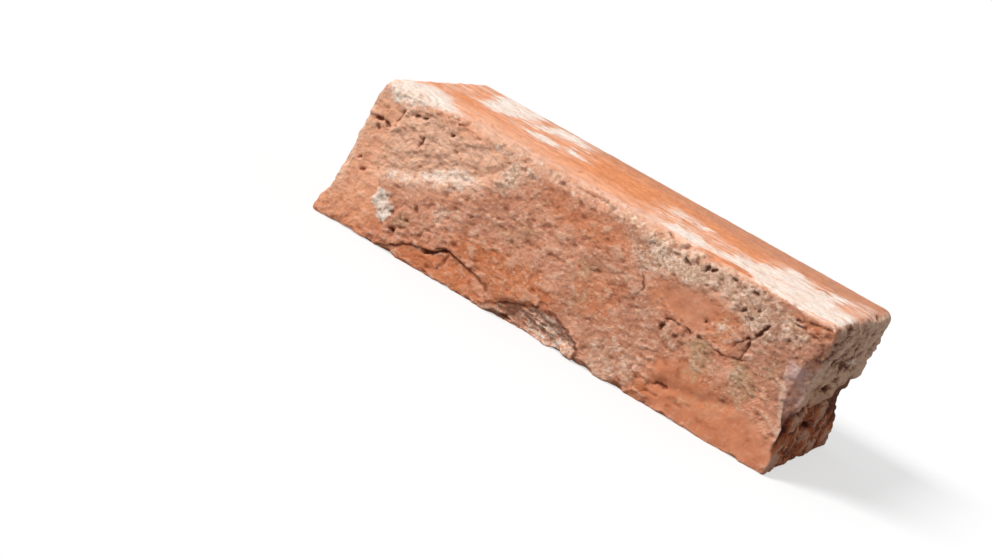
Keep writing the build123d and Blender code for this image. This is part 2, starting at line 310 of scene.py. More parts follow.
def cells(points, size, seed):
    """Distance to the nearest of one stray point in each cell, and that point's lot, 0 to 1."""
    rng = np.random.default_rng(seed)
    shuffle = rng.permutation(LOTS)
    strays = rng.random((LOTS, 3))
    lots = rng.random(LOTS)
    place = points / size
    home = np.floor(place).astype(np.int64)
    part = place - home
    nearest = np.full(len(points), 9.0)
    lot = np.zeros(len(points))
    for step in itertools.product((-1, 0, 1), repeat=3):
        pick = drawn_lots(shuffle, home + step)
        gap = np.linalg.norm(strays[pick] + step - part, axis=1)
        closer = gap < nearest
        lot = np.where(closer, lots[pick], lot)
        nearest = np.where(closer, gap, nearest)
    return nearest, lot


def line_distance(places, line):
    """Distance of each place from a line of straight runs."""
    best = np.full(len(places), 1e9)
    for start, end in itertools.pairwise(np.asarray(line, float)):
        run = end - start
        along = np.clip(((places - start) @ run) / (run @ run), 0, 1)
        best = np.minimum(best, np.linalg.norm(places - start - along[:, None] * run, axis=1))
    return best


def depth_inside(places, outline):
    """Distance inside a closed outline, and minus the distance outside it."""
    ring = list(outline) + [outline[0]]
    inside = np.zeros(len(places), bool)
    across, up = places[:, 0], places[:, 1]
    for (x0, y0), (x1, y1) in itertools.pairwise(ring):
        if y0 != y1:
            crosses = (y0 > up) != (y1 > up)
            inside ^= crosses & (across < (x1 - x0) * (up - y0) / (y1 - y0) + x0)
    return np.where(inside, 1, -1) * line_distance(places, ring)


def wander(points):
    """Smooth random move of each point, so that no edge of the clay stays straight."""
    return WANDER * np.stack([fractal(points, 7, 3, 200 + turn * 10) for turn in range(3)], axis=1)


class Surface:
    """Points of the brick's skin in millimetres, with how squarely each one faces each side of the brick."""

    def __init__(self, points, normals, grain=None):
        self.points = points
        self.normals = normals
        self.along = points[:, 0] - SOUND_HEADER
        self.inward = points[:, 1] - FRONT
        self.up = points[:, 2]
        x, y, z = normals.T
        self.front, self.back = ramp(-y, 0.35, 0.75), ramp(y, 0.45, 0.8)
        self.top, self.under = ramp(z, 0.55, 0.85), ramp(-z, 0.55, 0.85)
        self.broken, self.sound = ramp(x, 0.35, 0.7), ramp(-x, 0.45, 0.8)
        self.grain = skin_relief(points) if grain is None else grain

    @classmethod
    def of(cls, mesh):
        """Reads the points and normals of a mesh."""
        points = np.empty((len(mesh.vertices), 3))
        mesh.vertices.foreach_get("co", points.ravel())
        normals = np.empty((len(mesh.vertices), 3))
        mesh.vertex_normals.foreach_get("vector", normals.ravel())
        return cls(points / MM, normals)

    def part(self, chosen):
        """The chosen points alone."""
        return Surface(self.points[chosen], self.normals[chosen], self.grain[chosen])

    def blend(self, sides):
        """Works out named values for each point, where each side has a way of its own."""
        totals = {}
        shares = np.zeros(len(self.points))
        for side, work_out in sides.items():
            share = getattr(self, side)
            near = share > 0
            for name, values in work_out(self.part(near)).items():
                totals.setdefault(name, np.zeros(len(share)))[near] += share[near] * values
            shares += share
        return {name: total / np.maximum(shares, 1) for name, total in totals.items()}

    def front_places(self, stray=1.2, size=6.0, seed=3):
        """Place on the stretcher, moved about by up to stray, so that straight outlines turn ragged."""
        return np.stack([self.along, self.up], axis=1) + self.stray(stray, size, seed)

    def line_places(self):
        """Place on the stretcher for cracks and pits, whose outlines are ragged at a smaller scale."""
        return self.front_places(0.5, 2.4, 8)

    def top_places(self, stray=1.6, size=6.0, seed=5):
        """Place on the upper bed, moved about in the same way."""
        return np.stack([self.along, self.inward], axis=1) + self.stray(stray, size, seed)

    def header_places(self):
        """Place on the broken header, moved about in the same way."""
        return np.stack([self.inward, self.up], axis=1) + self.stray(1.2, 5.0, 9)

    def stray(self, amount, size, seed):
        """Smooth random move of each place."""
        moves = [fractal(self.points, size, 3, seed + turn * 10) for turn in range(2)]
        return amount * np.stack(moves, axis=1)


def within(places, outlines, low, high):
    """How far inside any of the outlines each place lies: 0 at low, and the outline's strength at high."""
    best = np.zeros(len(places))
    for patch in outlines:
        outline, strength = patch if isinstance(patch, tuple) else (patch, 1)
        best = np.maximum(best, strength * ramp(depth_inside(places, outline), low, high))
    return best


def pitted(places, pits):
    """Depth of separate, lopsided pits: across, up, radius and depth of each."""
    depth = np.zeros(len(places))
    for turn, (across, up, radius, cut) in enumerate(pits):
        lean = np.array([[cos(2.4 * turn), -sin(2.4 * turn)], [sin(2.4 * turn), cos(2.4 * turn)]])
        gap = np.linalg.norm((places - (across, up)) @ lean * (0.75, 1.35), axis=1)
        depth = np.maximum(depth, cut * fade(gap, 0.3 * radius, 1.2 * radius))
    return depth


def terraces(value, step, tread=0.55):
    """Turns a slope into flat treads with steep risers between them."""
    level = np.floor(value / step)
    return step * (level + ramp(value / step - level, tread, 1))


def crumbs(points, size, seed):
    """Crumbs of clay with sharp creases between them: about -1 in a crease and 1 on a crumb."""
    return 2.6 * np.abs(gradient_noise(points, size, seed)) - 0.8


def skin_relief(points):
    """Depth of the grain that every side has: pores, crumbs and small lumps."""
    drawn = points * (0.6, 1, 1)
    gap, lot = cells(drawn, 3.3, 71)
    depth = 0.8 * fade(gap, 0, 0.42) * ramp(lot, 0.68, 0.9)
    depth -= 0.5 * ramp(fractal(drawn, 2.5, 2, 75, 0.35), 0.05, 0.7)
    depth += 0.48 * ramp(fractal(drawn, 2.2, 2, 85, 0.35), 0.2, 0.8)
    depth -= 0.12 * crumbs(points, 4.6, 51)
    return depth + 0.25 * fractal(points, 9, 2, 65)


def cracked(brick, lines):
    """Depth of the cracks, which open and close along the way."""
    places = brick.line_places()
    rift = 0.55 + 0.6 * ramp(gradient_noise(brick.points, 4, 44), -0.4, 0.4)
    depth = np.zeros(len(places))
    for line, width, cut in lines.values():
        depth = np.maximum(depth, cut * rift * fade(line_distance(places, line), 0.1, width * rift))
    return depth


def front_relief(brick):
    """Depth of the damaged stretcher: missing skin, breaks, cracks, pits and what clings to it."""
    ragged = brick.front_places()
    plain = brick.line_places()
    smooth = within(ragged, SMOOTH_CLAY, -2, 3)
    old = within(ragged, [OLD_SKIN], -0.5, 0.5)
    field = within(ragged, [MORTAR_FIELD], -1.0, 1.5)
    blob = within(ragged, [MORTAR_BLOB, CRUMB_BAND], -0.5, 1.2)
    notch = within(plain, [NOTCH], -0.4, 0.8)
    broken_slab = within(ragged, [SPLIT_SLAB], -2, 4)
    swell = 0.25 * smooth * fractal(brick.points, 9, 3, 19)
    depth = (0.85 + 0.3 * old) * (1 - 0.85 * smooth) * brick.grain + swell
    depth += SKIN_THICKNESS * (1 - old) * ramp(brick.along, 2, 10)
    depth += cracked(brick, FRONT_CRACKS) + pitted(plain, FRONT_PITS)
    shelf = 0.4 * cracked(brick, {"flake": (FLAKE_EDGE, 1.2, 1)}) * within(plain, [FLAKE], 0, 0.6)
    depth += FOLD_DEPTH * fade(line_distance(plain, FOLD), 0, 4) + shelf
    bedded = brick.points @ np.array(Matrix.Rotation(SLAB_SLOPE, 3, "Y")) * (0.35, 1, 1)
    depth -= broken_slab * terraces(0.6 * fractal(bedded, 3.4, 3, 131), SLAB_LAYER)
    crumbly = 0.3 * crumbs(brick.points, 2.8, 141)
    craggy = fractal(brick.points * (0.7, 1, 1), 4.5, 3, 161) + crumbly
    depth -= 1.05 * within(ragged, [CRAGGY_CLAY], -2, 4) * craggy
    sandy = crumbly + 0.34 * fractal(brick.points, 6, 3, 145)
    depth -= field * (MORTAR_THICKNESS + 1.4 * sandy) + blob * (BLOB_THICKNESS + 1.5 * sandy)
    layered = brick.points * (0.3, 1, 1)
    depth -= notch * (0.5 + terraces(3.2 * fractal(layered, 5.5, 3, 151, 0.6), NOTCH_LAYER) + sandy)
    return depth + 0.28 * fractal(brick.points, 42, 2, 11)


def top_relief(brick):
    """Depth of the struck bed below its plane: drag marks along the brick, under patches of lime."""
    drawn = brick.points * (0.09, 1, 1)
    drag = 0.12 * fractal(drawn, 2.8, 3, 31) + 0.12 * gradient_noise(drawn, 9, 35)
    drag += 0.2 * fractal(brick.points, 30, 2, 37)
    lime = within(brick.top_places(), TOP_LIME, -2, 2)
    crust = LIME_THICKNESS + 0.2 * fractal(brick.points, 4, 3, 39)
    rough = (0.25 + 0.6 * fade(brick.inward, 4, 24)) * brick.grain
    return drag + rough - crust * lime + pitted(brick.top_places(0.5, 2.4), TOP_PITS)


def header_pits(brick):
    """Depth of the pits of the broken header, which are long from front to back."""
    places = brick.header_places() * (PIT_STRETCH, 1)
    return pitted(places, [(PIT_STRETCH * across, *rest) for across, *rest in HEADER_PITS])


def header_relief(brick):
    """Depth of the torn clay of the broken header: long ledges, hollows and a deep recess at the back."""
    bedded = brick.points @ np.array(Matrix.Rotation(HEADER_SLOPE, 3, "X")) * (1, 0.42, 1)
    climb = bedded[:, 2] / LEDGE_PITCH + 1.5 * fractal(bedded, 16, 3, 87)
    rise = climb - np.floor(climb)
    depth = LEDGE_DEPTH * (rise * fade(rise, 0.75, 1) - 0.4) * ramp(gradient_noise(bedded, 12, 91), -0.3, 0.3)
    depth += 1.5 * fractal(bedded, 9, 3, 81) + 1.1 * brick.grain - 0.3 * crumbs(bedded, 3.4, 83)
    gap, lot = cells(bedded, 5, 101)
    depth += 1.7 * fade(gap, 0.1, 0.5) * ramp(lot, 0.55, 0.7)
    depth += header_pits(brick)
    facet = ramp(brick.inward, 1, 8) * ramp(brick.up, 1, 7) * (1 - 0.5 * ramp(brick.up, 50, 60))
    facet *= 1 - 0.45 * ramp(brick.inward, 78, 94)
    recess = ramp(brick.inward, 60, 98) * hump(brick.up, 24.5, 5)
    brow = ramp(brick.inward, 76, 98) * hump(brick.up, 36, 4)
    shoulder = ramp(brick.inward, 66, 90) * ramp(brick.up, 38, 44)
    bite = fade(brick.inward, 3, 16) * (hump(brick.up, 20, 8) - 0.5 * hump(brick.up, 5, 4))
    depth = (0.2 + 0.8 * facet) * depth + RECESS_DEPTH * recess
    return depth - BROW_HEIGHT * brow - SHOULDER_HEIGHT * shoulder + BITE_DEPTH * bite - 0.2


def plain_relief(brick):
    """Depth of the sound header, the sound stretcher and the lower bed."""
    return 0.3 * brick.grain + 0.5 * fractal(brick.points, 38, 3, 15)


def scoop(points, centre, radius, raggedness):
    """Pushes the points that a ball covers out to its surface, as a shell-shaped chip leaves them."""
    offset = points - centre
    gap = np.linalg.norm(offset, axis=1)
    reach = radius + raggedness
    covered = gap < reach
    points[covered] = centre + offset[covered] * (reach[covered] / gap[covered])[:, None]


def rounded_corner(points, corner, size):
    """Turns a sharp corner of the brick into part of a ball, whose radius is a little over the given size."""
    centre = corner - np.sign(corner - points.mean(axis=0)) * size
    radius = 1.2 * size
    offset = points - centre
    gap = np.linalg.norm(offset, axis=1)
    beyond = (offset * (corner - centre) > 0).all(axis=1) & (gap > radius)
    points[beyond] = centre + offset[beyond] * (radius / gap[beyond])[:, None]


def bulge(mesh, points, normals):
    """How far each point stands proud of its neighbours, for the length of the edges: above 0 on an arris."""
    ends = np.empty((len(mesh.edges), 2), np.int64)
    mesh.edges.foreach_get("vertices", ends.ravel())
    total = np.zeros(len(points))
    count = np.bincount(ends.ravel(), minlength=len(points))
    for here, there in (ends.T, ends.T[::-1]):
        step = points[there] - points[here]
        share = (step * normals[here]).sum(axis=1) / np.linalg.norm(step, axis=1)
        total -= np.bincount(here, share, minlength=len(points))
    return total / count


def chip_arrises(points, brick, proud, settings):
    """Takes small chips off the arrises, apart from those by the broken header and the far upper corner."""
    rng = np.random.default_rng(settings.seed)
    raggedness = fractal(points, 3.5, 3, 111)
    low, high = np.array(LOW) / MM, np.array(HIGH) / MM
    arris = (np.minimum(brick.points - low, high - brick.points) < ARRIS_REACH).sum(axis=1) > 1
    arris &= (proud > 0.12) & (brick.points[:, 0] < high[0] - CHIP_MARGIN)
    arris &= (brick.inward < 90) | (brick.up < 55)
    for place in rng.choice(np.flatnonzero(arris), settings.chips, replace=False):
        depth = 0.2 + 0.65 * rng.random() ** 4
        radius = depth * rng.uniform(5, 11)
        facing = brick.normals[place] + rng.normal(0, 0.25, 3)
        facing /= np.linalg.norm(facing)
        scoop(points, points[place] + facing * (radius - depth), radius, 0.6 * depth * raggedness)


def new_object(name, shape):
    """Turns a finished bmesh into an object of the scene."""
    mesh = bpy.data.meshes.new(name)
    shape.to_mesh(mesh)
    shape.free()
    piece = bpy.data.objects.new(name, mesh)
    bpy.context.scene.collection.objects.link(piece)
    return piece


def joined_copy(node, name):
    """A copy of a CAD node's mesh as one joined skin, in an object of its own."""
    shape = bmesh.new()
    shape.from_mesh(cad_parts[node].data)
    bmesh.ops.remove_doubles(shape, verts=shape.verts, dist=JOIN_DISTANCE)
    return new_object(name, shape)


def bake_modifiers(piece):
    """Turns an object's modifiers into its mesh."""
    graph = bpy.context.evaluated_depsgraph_get()
    made = bpy.data.meshes.new_from_object(piece.evaluated_get(graph))
    piece.modifiers.clear()
    old = piece.data
    piece.data = made
    bpy.data.meshes.remove(old)


def rubbed(brick):
    """Broken streaks along the brick, for the arris that rubbed against other things."""
    streaks = ramp(fractal(brick.points * (0.14, 1, 1), 2.6, 3, 401), 0.0, 0.3)
    return streaks * ramp(brick.along, 20, 40) * fade(brick.along, 176, 190)


def front_marks(brick):
    """How deep the damaged stretcher is cut, and what lies where on it."""
    ragged = brick.front_places()
    plain = brick.line_places()
    mortar = within(ragged, [MORTAR_FIELD, *MORTAR_PATCHES], -3.2, 3)
    notch = within(plain, [NOTCH], -1, 2)
    warm = within(ragged, WARM_CLAY, -4, 4)
    pale = within(ragged, [PALE_LEFT], -12, 14) * (1 - 0.5 * ramp(brick.up, 58, 63))
    slab = within(ragged, [SPLIT_SLAB], -4, 6)
    # Bands of painted shadow just below the break edges of the flake and the notch
    flake_edge_shadow = fade(line_distance(plain, FLAKE_EDGE), 0.7, 2.0) * within(plain, [FLAKE], -0.4, 0.2)
    notch_edge_shadow = fade(line_distance(plain, NOTCH_EDGE), 0.5, 1.8) * within(plain, [NOTCH], -0.4, 0.2)
    return {
        "depth": front_relief(brick),
        "skin": within(ragged, [OLD_SKIN], -0.6, 0.6) * (1 - 0.8 * warm) * (1 - 0.4 * slab),
        "warm": warm,
        "smooth": within(ragged, SMOOTH_CLAY, -2, 3),
        "pale": pale,
        "shade": within(ragged, DULL_CLAY, -4, 6) * (1 - 0.8 * warm),
        "mortar": np.maximum(mortar * (1 - 0.4 * ramp(brick.along, 176, 190)), 0.42 * notch),
        "smear": within(ragged, DULL_SMEARS, -3.5, 3),
        "lilac": within(ragged, [HEADER_BEVEL], -1, 1),
        "lime": np.maximum.reduce([
            within(ragged, [MORTAR_BLOB], -2.2, 1.6),
            within(ragged, [(BREAK_LIME, 0.66), (RIDGE_LIME, 0.5), (CORNER_LIME, 0.72)], -3, 3),
            0.4 * notch * ramp(brick.along, 94, 104),
        ]),
        "dust": np.maximum.reduce([
            0.55 * slab * fade(brick.up, 56, 62),
            within(ragged, DUSTY_CLAY, -4, 6),
            within(ragged, [SLAB_BREAK], -5, 4),
            0.8 * fade(line_distance(plain, BEVEL_EDGE), 0.3, 1.1),
            # Painted highlight along the arris of the sound header
            0.9 * fade(brick.along, 0.5, 5) * ramp(brick.up, 8, 20),
            0.6 * rubbed(brick) * ramp(brick.up, 61.5, 63.5),
        ]),
        # Painted shade and dirt in the cracks, the pits and along the fold, and painted shadow below the
        # edges of the flake and the notch
        "grime": np.maximum.reduce([
            ramp(cracked(brick, FRONT_CRACKS), 0.2, 0.9),
            ramp(pitted(plain, FRONT_PITS), 0.3, 1.2),
            0.12 * fade(line_distance(plain, FOLD), 0.5, 2.5),
            flake_edge_shadow,
            notch_edge_shadow,
        ]),
        "grain": 1 - 0.3 * pale,
    }


def top_marks(brick):
    """How deep the upper bed is cut, and what lies where on it."""
    ragged = brick.top_places()
    red = 0.85 * within(ragged, [TOP_RED], -2, 2)
    wash = within(brick.top_places(3, 9), TOP_WASH, -8, 6)
    return {
        "depth": top_relief(brick),
        "top": np.ones(len(red)),
        "warm": red,
        "pale": fade(brick.inward, 10, 46) * (1 - red),
        "dust": 0.6 * rubbed(brick) * fade(brick.inward, 1, 4),
        "shade": np.maximum(
            ramp(brick.inward + 0.2 * (brick.along - 110), 60, 98),
            0.4 * fade(brick.inward, 8, 18) * ramp(brick.along, 34, 50) * fade(brick.along, 122, 136),
        ),
        "wash": wash * (1 - red),
        "lime": within(ragged, TOP_LIME, -6, 6),
        # Painted shade and dirt in the pits of the upper bed
        "grime": 0.7 * ramp(pitted(brick.top_places(0.5, 2.4), TOP_PITS), 0.2, 1.1),
        "grain": 0.4 + 0.4 * np.maximum(red, fade(brick.inward, 2, 14)),
    }


def header_marks(brick):
    """How deep the broken header is cut, and what lies where on it."""
    places = brick.header_places()
    lens = np.linalg.norm((places - LIME_LENS) * (0.3, 1), axis=1)
    facet = fade(brick.inward, 6, 20) * ramp(brick.up, 20, 28) * fade(brick.up, 44, 54)
    relief = header_relief(brick)
    wrapped = fade(places[:, 0], 2, 9) * ramp(brick.up, 42, 50)
    return {
        "depth": relief,
        "torn": 1 - wrapped,
        "warm": 0.5 * wrapped,
        "dirt": ramp(places[:, 1] + 0.1 * places[:, 0], 22, 48),
        "lilac": np.maximum(0.6 * facet, 0.35 * ramp(brick.up, 26, 46)),
        "lime": fade(lens, 0.9, 1.5),
        # Painted shade and dirt in the pits, and darker near the front edge at the top
        "grime": np.maximum(
            0.9 * ramp(header_pits(brick), 0.5, 1.7),
            0.35 * fade(places[:, 0], 8, 24) * ramp(brick.up, 44, 54) * (1 - wrapped),
        ),
        # Relief for the painted shade in the hollows and the painted highlights on the crests, stronger
        # towards the back
        "cut": (0.7 + 0.5 * ramp(brick.inward, 46, 76)) * (relief - np.median(relief)),
    }


def plain_marks(brick):
    """How deep the plain sides are cut, and what lies where on them."""
    patchy = ramp(fractal(brick.points, 30, 3, 411), -0.5, 0.6)
    return {
        "depth": plain_relief(brick),
        "skin": 0.9 * patchy,
        "warm": 0.6 * (1 - patchy),
        "dust": 0.5 * brick.sound * patchy,
        "grain": np.ones(len(patchy)),
    }


MARKS = {
    "front": front_marks,
    "top": top_marks,
    "broken": header_marks,
    "back": plain_marks,
    "sound": plain_marks,
    "under": plain_marks,
}


def weather(mesh, marks, brick, proud):
    """Paints where the skin, the mortar, the lime, the dust and the dirt lie, and where painted shade and
    painted highlights go.
    """
    # Depth of the relief: painted shade goes in its hollows, and a painted highlight on its crests and, more
    # faintly, on the arrises
    cut = marks.pop("cut") + marks.pop("grain") * brick.grain
    marks["hollow"] = ramp(cut, 0.08, 0.75)
    marks["crest"] = np.maximum(ramp(-cut, 0.08, 0.5), 0.2 * ramp(proud, 0.05, 0.3))
    for name, values in marks.items():
        layer = mesh.attributes.new(name, "FLOAT", "POINT")
        layer.data.foreach_set("value", np.clip(values, 0, 1).astype(np.float32))


def carve(piece, settings):
    """Meshes the brick finely, carves its relief, paints its skin and thins the mesh where it is plain."""
    remesh = piece.modifiers.new("cells", "REMESH")
    remesh.mode = "VOXEL"
    remesh.voxel_size = settings.cell
    bake_modifiers(piece)
    mesh = piece.data
    brick = Surface.of(mesh)
    marks = brick.blend(MARKS)
    depth = marks.pop("depth")
    # The far upper arris is worn smooth
    calm = 1 - 0.7 * ramp(brick.inward, 86, 98) * ramp(brick.up, 52, 60)
    points = brick.points + calm[:, None] * (wander(brick.points) - brick.normals * depth[:, None])
    proud = bulge(mesh, brick.points, brick.normals)
    chip_arrises(points, brick, proud, settings)
    rounded_corner(points, np.array(HIGH) / MM, FAR_CORNER_ROUNDING)
    rounded_corner(points, np.array((SOUND_HEADER, FRONT, HEIGHT)), CORNER_ROUNDING)
    room = settings.proud / MM
    low = np.array(LOW) / MM - (room, room, 0)
    high = np.array(HIGH) / MM + room
    weather(mesh, marks, brick, proud)
    mesh.vertices.foreach_set("co", (np.clip(points, low, high) * MM).ravel())
    mesh.update()
    thin = piece.modifiers.new("thin", "DECIMATE")
    thin.ratio = settings.triangles / (2 * len(mesh.polygons))
    bake_modifiers(piece)


class Recipe:
    """Writes the nodes of a material or a world as calls, most of which give back the new node's output."""

    def __init__(self, owner):
        owner.use_nodes = True
        self.owner = owner
        self.tree = owner.node_tree
        self.tree.nodes.clear()

    def node(self, kind, settings=None, sockets=None):
        """Adds a node with its settings, and feeds its sockets."""
        made = self.tree.nodes.new(kind)
        for name, value in (settings or {}).items():
            setattr(made, name, value)
        for name, value in (sockets or {}).items():
            self.feed(made.inputs[name], value)
        return made

    def feed(self, socket, value):
        """Links an output, or the attribute of the given name, to a socket, or sets the socket's value."""
        if isinstance(value, str):
            value = self.attribute(value)
        if isinstance(value, bpy.types.NodeSocket):
            self.tree.links.new(value, socket)
        else:
            socket.default_value = value

    def attribute(self, name):
        return self.node("ShaderNodeAttribute", {"attribute_name": name}).outputs["Fac"]

    def stretched(self, scale):
        mapping = self.node("ShaderNodeMapping", sockets={"Vector": self.place, "Scale": scale})
        return mapping.outputs["Vector"]

    def noise(self, size, detail=3.0, roughness=0.55, place=None, distortion=0.0):
        """Noise of 0 to 1 with lumps of the given size, in millimetres."""
        sockets = {
            "Vector": place or self.place,
            "Scale": 1 / (size * MM),
            "Detail": detail,
            "Roughness": roughness,
            "Distortion": distortion,
        }
        return self.node("ShaderNodeTexNoise", sockets=sockets).outputs["Fac"]

    def grains(self, size):
        """Lot of the nearest of stray grains, the given millimetres apart, and the distance from it."""
        made = self.node("ShaderNodeTexVoronoi", sockets={"Vector": self.place, "Scale": 1 / (size * MM)})
        return made.outputs["Color"], made.outputs["Distance"]

    def span(self, value, low, high, start=0, end=1):
        """Maps low to start and high to end, smoothly and with nothing beyond them."""
        sockets = {"Value": value, "From Min": low, "From Max": high, "To Min": start, "To Max": end}
        made = self.node("ShaderNodeMapRange", {"interpolation_type": "SMOOTHSTEP"}, sockets)
        return made.outputs["Result"]

    def patch(self, mask, edge, reach, soft):
        """Share of a patch whose ragged edge follows a noise: reach is how far the noise can move it."""
        moved = self.math("MULTIPLY_ADD", edge, reach, -0.5 * reach)
        share = self.span(self.math("ADD", mask, moved), 0.5 - soft, 0.5 + soft)
        return self.product(share, self.span(mask, 0.02, 0.25))

    def product(self, first, second):
        return self.math("MULTIPLY", first, second)

    def math(self, operation, *values):
        made = self.node("ShaderNodeMath", {"operation": operation})
        for socket, value in zip(made.inputs, values):
            self.feed(socket, value)
        return made.outputs[0]

    def mix(self, share, below, above, blend="MIX"):
        """One colour over another: share 0 leaves the one below, and 1 covers it."""
        made = self.node("ShaderNodeMix", {"data_type": "RGBA", "blend_type": blend})
        self.feed(made.inputs[0], share)
        for socket, tone in ((made.inputs[6], below), (made.inputs[7], above)):
            self.feed(socket, tone if isinstance(tone, bpy.types.NodeSocket) else (*tone, 1.0))
        return made.outputs[2]

    def cover(self, colour, mask, above, noise, low, high, start=0, end=1, blend="MIX"):
        """Lays one colour over another where the mask is, as thickly as the span of the noise says."""
        return self.mix(self.product(mask, self.span(noise, low, high, start, end)), colour, above, blend)

    def darken(self, colour, mask, above, noise, low, high, start=0, end=1):
        """Multiplies a colour by another in the same way."""
        return self.cover(colour, mask, above, noise, low, high, start, end, "MULTIPLY")

    def bump(self, height, distance, below=None):
        """Relief of the given height in millimetres, on top of an earlier one."""
        sockets = {"Height": height, "Distance": distance * MM, "Strength": 1}
        if below:
            sockets["Normal"] = below
        return self.node("ShaderNodeBump", sockets=sockets).outputs["Normal"]


# What darkens the clay where it is smooth, layered, dirty, dragged, pored or sandy, and the painted shade in
# the hollows of sound and torn clay and, with dirt, in the cracks
SMOOTH_SHADE = (0.88, 0.9, 0.95)
LAYER_SHADE = (0.42, 0.3, 0.26)
DIRT_SHADE = (0.5, 0.48, 0.42)
DRAG_SHADE = (0.75, 0.55, 0.45)
PORE_SHADE = (0.5, 0.36, 0.3)
SAND_SHADE = (0.35, 0.28, 0.22)
HOLLOW_SHADE = (0.42, 0.27, 0.21)
TORN_SHADE = (0.3, 0.18, 0.14)
CRACK_SHADE = (0.3, 0.19, 0.15)


class FiredClay(Recipe):
    """Orange fired clay under a worn skin, old mortar, lime, dust and dirt, with painted shade in its hollows
    and cracks and painted highlights on its crests.
    """

    def __init__(self, tones):
        super().__init__(bpy.data.materials.new("fired_clay"))
        self.tones = tones
        self.place = self.node("ShaderNodeTexCoord").outputs["Object"]
        self.broad = self.noise(26, 4)
        self.mottle = self.noise(6, 5, 0.62)
        self.blotch = self.noise(3.2, 5, 0.65, distortion=0.6)
        self.drawn = self.noise(2.2, 6, 0.68, self.stretched((0.07, 1, 1)))
        self.sand = self.noise(1.7, 4, 0.65)
        self.top = self.attribute("top")
        self.rough = self.product(self.span("smooth", 0, 1, 1, 0.25), self.span(self.top, 0, 1, 1, 0.35))
        self.lot, self.gap = self.grains(1.9)

    def bare(self):
        """Bare clay with the worn skin over it."""
        tones, mottle = self.tones, self.mottle
        deep = self.mix(self.top, tones.clay_deep, tones.bed_deep)
        bright = self.mix(self.top, tones.clay_bright, tones.bed_bright)
        colour = self.mix(self.span(mottle, 0.35, 0.65), deep, bright)
        skin = self.mix(self.span(mottle, 0.36, 0.62), tones.skin_brown, tones.skin_pink)
        colour = self.cover(colour, "skin", skin, self.blotch, 0.3, 0.55, 0.6, 1)
        colour = self.cover(colour, "warm", tones.clay_warm, self.broad, 0.3, 0.6, 0.6, 0.95)
        colour = self.mix("smooth", colour, SMOOTH_SHADE, "MULTIPLY")
        colour = self.cover(colour, "pale", tones.clay_pale, mottle, 0.3, 0.6, 0.6, 0.95)
        dull = self.mix(self.top, tones.clay_dull, tones.clay_tan)
        return self.cover(colour, "shade", dull, mottle, 0.3, 0.65, 0.95, 0.6)

    def torn(self):
        """Torn clay of the broken header, in layers, with its dirt."""
        tones, blotch = self.tones, self.blotch
        laid = self.noise(2, 4, 0.6, self.stretched((1, 0.22, 1)))
        colour = self.mix(self.span(self.mottle, 0.35, 0.6), tones.torn_dark, tones.torn_red)
        colour = self.cover(colour, "dirt", tones.dirt, blotch, 0.3, 0.5, 0.5, 1)
        colour = self.mix(self.span(laid, 0.5, 0.4, 0, 0.75), colour, LAYER_SHADE, "MULTIPLY")
        colour = self.darken(colour, "dirt", DIRT_SHADE, blotch, 0.52, 0.36, 0, 0.7)
        return self.cover(colour, self.span("dirt", 0, 1, 0.05, 1), tones.ledge, laid, 0.52, 0.62, 0, 0.75)

    def washed(self, colour):
        """Dust and thin lime over the clay, with the drag marks of the upper bed; the dust also carries a
        painted highlight along the sound header's arris.
        """
        tones, drawn = self.tones, self.drawn
        colour = self.cover(colour, "lilac", tones.lilac, self.mottle, 0.35, 0.62, 0.2, 1)
        colour = self.cover(colour, "wash", tones.wash, drawn, 0.38, 0.62)
        colour = self.cover(colour, self.top, tones.dust, drawn, 0.56, 0.72, 0, 0.4)
        colour = self.darken(colour, self.top, DRAG_SHADE, drawn, 0.42, 0.3, 0, 0.35)
        return self.cover(colour, "dust", tones.dust, self.blotch, 0.3, 0.6, 0.25, 0.95)

    def crusted(self, colour):
        """Smears, mortar and lime over the clay."""
        tones, top, mottle, blotch = self.tones, self.top, self.mottle, self.blotch
        smear = self.mix(self.span(self.sand, 0.4, 0.62), tones.smear, tones.smear_pale)
        smeared = self.patch("smear", blotch, 2.2, 0.4)
        colour = self.cover(colour, smeared, smear, mottle, 0.35, 0.62, 0.5, 0.9)
        mortar = self.mix(self.span(self.grains(1.3)[0], 0.35, 0.62), tones.mortar_dark, tones.mortar_pale)
        bedded = self.patch("mortar", blotch, 2.4, 0.35)
        colour = self.cover(colour, bedded, mortar, mottle, 0.35, 0.62, 0.3, 0.95)
        lime = self.mix(self.span(blotch, 0.35, 0.6), tones.lime_warm, tones.lime_white)
        lime = self.mix(self.span(top, 0, 1, 0.6, 0), lime, tones.lime_cream)
        limed = self.patch("lime", self.mix(top, self.sand, self.drawn), 2.4, 0.3)
        return self.cover(colour, limed, lime, mottle, 0.32, 0.48, 0.6, 1)

    def speckled(self, colour):
        """Light crumbs and dark pores in the clay, and dark sand in the crusts."""
        tones, lot, rough = self.tones, self.lot, self.rough
        speckle = self.noise(1.8, 4, 0.75, self.stretched((0.5, 1, 1)))
        calm = self.product(rough, self.span("torn", 0, 1, 1, 0.3))
        grain = self.product(self.span(self.gap, 0.5, 0.2), calm)
        colour = self.cover(colour, grain, tones.dust, lot, 0.6, 0.7, 0, 0.35)
        colour = self.darken(colour, grain, PORE_SHADE, lot, 0.36, 0.3, 0, 0.4)
        colour = self.cover(colour, calm, tones.dust, speckle, 0.54, 0.7, 0, 0.42)
        colour = self.darken(colour, rough, PORE_SHADE, speckle, 0.46, 0.32, 0, 0.52)
        sandy = self.math("MAXIMUM", self.product("lime", 0.6), self.product("mortar", 0.65))
        sandy = self.math("MAXIMUM", sandy, self.product("dirt", 0.6))
        sandy = self.product(sandy, self.span(self.top, 0, 1, 1, 0.1))
        return self.darken(colour, sandy, SAND_SHADE, self.noise(1.5, 3, 0.6), 0.43, 0.33)

